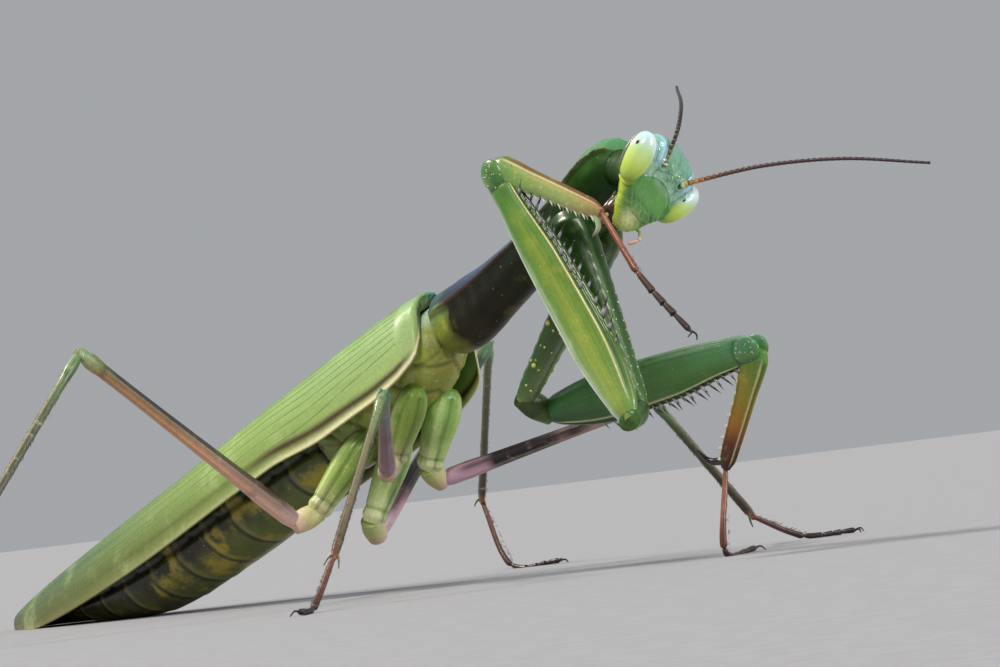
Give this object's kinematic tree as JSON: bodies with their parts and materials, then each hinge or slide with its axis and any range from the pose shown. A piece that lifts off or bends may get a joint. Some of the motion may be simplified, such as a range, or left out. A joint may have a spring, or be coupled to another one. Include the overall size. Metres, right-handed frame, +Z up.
{
  "type": "praying mantis",
  "caption": "Life-size still model of a green praying mantis standing on the floor, fore body raised, raptorial fore legs lifted and wings folded over its back.",
  "frame": {"origin": "on the floor under the middle of the bounding box", "axes": "+Z up, the animal faces -Y, its right side is towards -X"},
  "size_m": [0.0586, 0.0695, 0.025],
  "materials": {
    "leaf_green": "satin cuticle",
    "deep_green": "satin cuticle",
    "pale_green": "satin cuticle",
    "olive": "dull cuticle",
    "eye_green": "glossy cornea",
    "rose_brown": "satin cuticle",
    "dark_brown": "dull cuticle"
  },
  "bodies": {
    "root": {"prothorax": "deep_green", "pterothorax": "pale_green", "neck": "deep_green", "head": "leaf_green", "mouthparts": "rose_brown", "abdomen_front": "olive", "abdomen_middle": "olive", "abdomen_rear": "olive", "eye_right": "eye_green", "palp_right": "rose_brown", "antenna_right": "dark_brown", "tegmen_right": "leaf_green", "hind_wing_right": "pale_green", "fore_coxa_right": "deep_green", "fore_trochanter_right": "pale_green", "fore_femur_right": "leaf_green", "fore_tibia_right": "leaf_green", "fore_tarsus_right": "dark_brown", "mid_coxa_right": "pale_green", "mid_trochanter_right": "pale_green", "mid_femur_right": "rose_brown", "mid_tibia_right": "rose_brown", "mid_tarsus_right": "dark_brown", "hind_coxa_right": "pale_green", "hind_trochanter_right": "pale_green", "hind_femur_right": "rose_brown", "hind_tibia_right": "rose_brown", "hind_tarsus_right": "dark_brown", "eye_left": "eye_green", "palp_left": "rose_brown", "antenna_left": "dark_brown", "tegmen_left": "leaf_green", "hind_wing_left": "pale_green", "fore_coxa_left": "deep_green", "fore_trochanter_left": "pale_green", "fore_femur_left": "leaf_green", "fore_tibia_left": "leaf_green", "fore_tarsus_left": "dark_brown", "mid_coxa_left": "pale_green", "mid_trochanter_left": "pale_green", "mid_femur_left": "rose_brown", "mid_tibia_left": "rose_brown", "mid_tarsus_left": "dark_brown", "hind_coxa_left": "pale_green", "hind_trochanter_left": "pale_green", "hind_femur_left": "rose_brown", "hind_tibia_left": "rose_brown", "hind_tarsus_left": "dark_brown"}
  },
  "joints": []
}
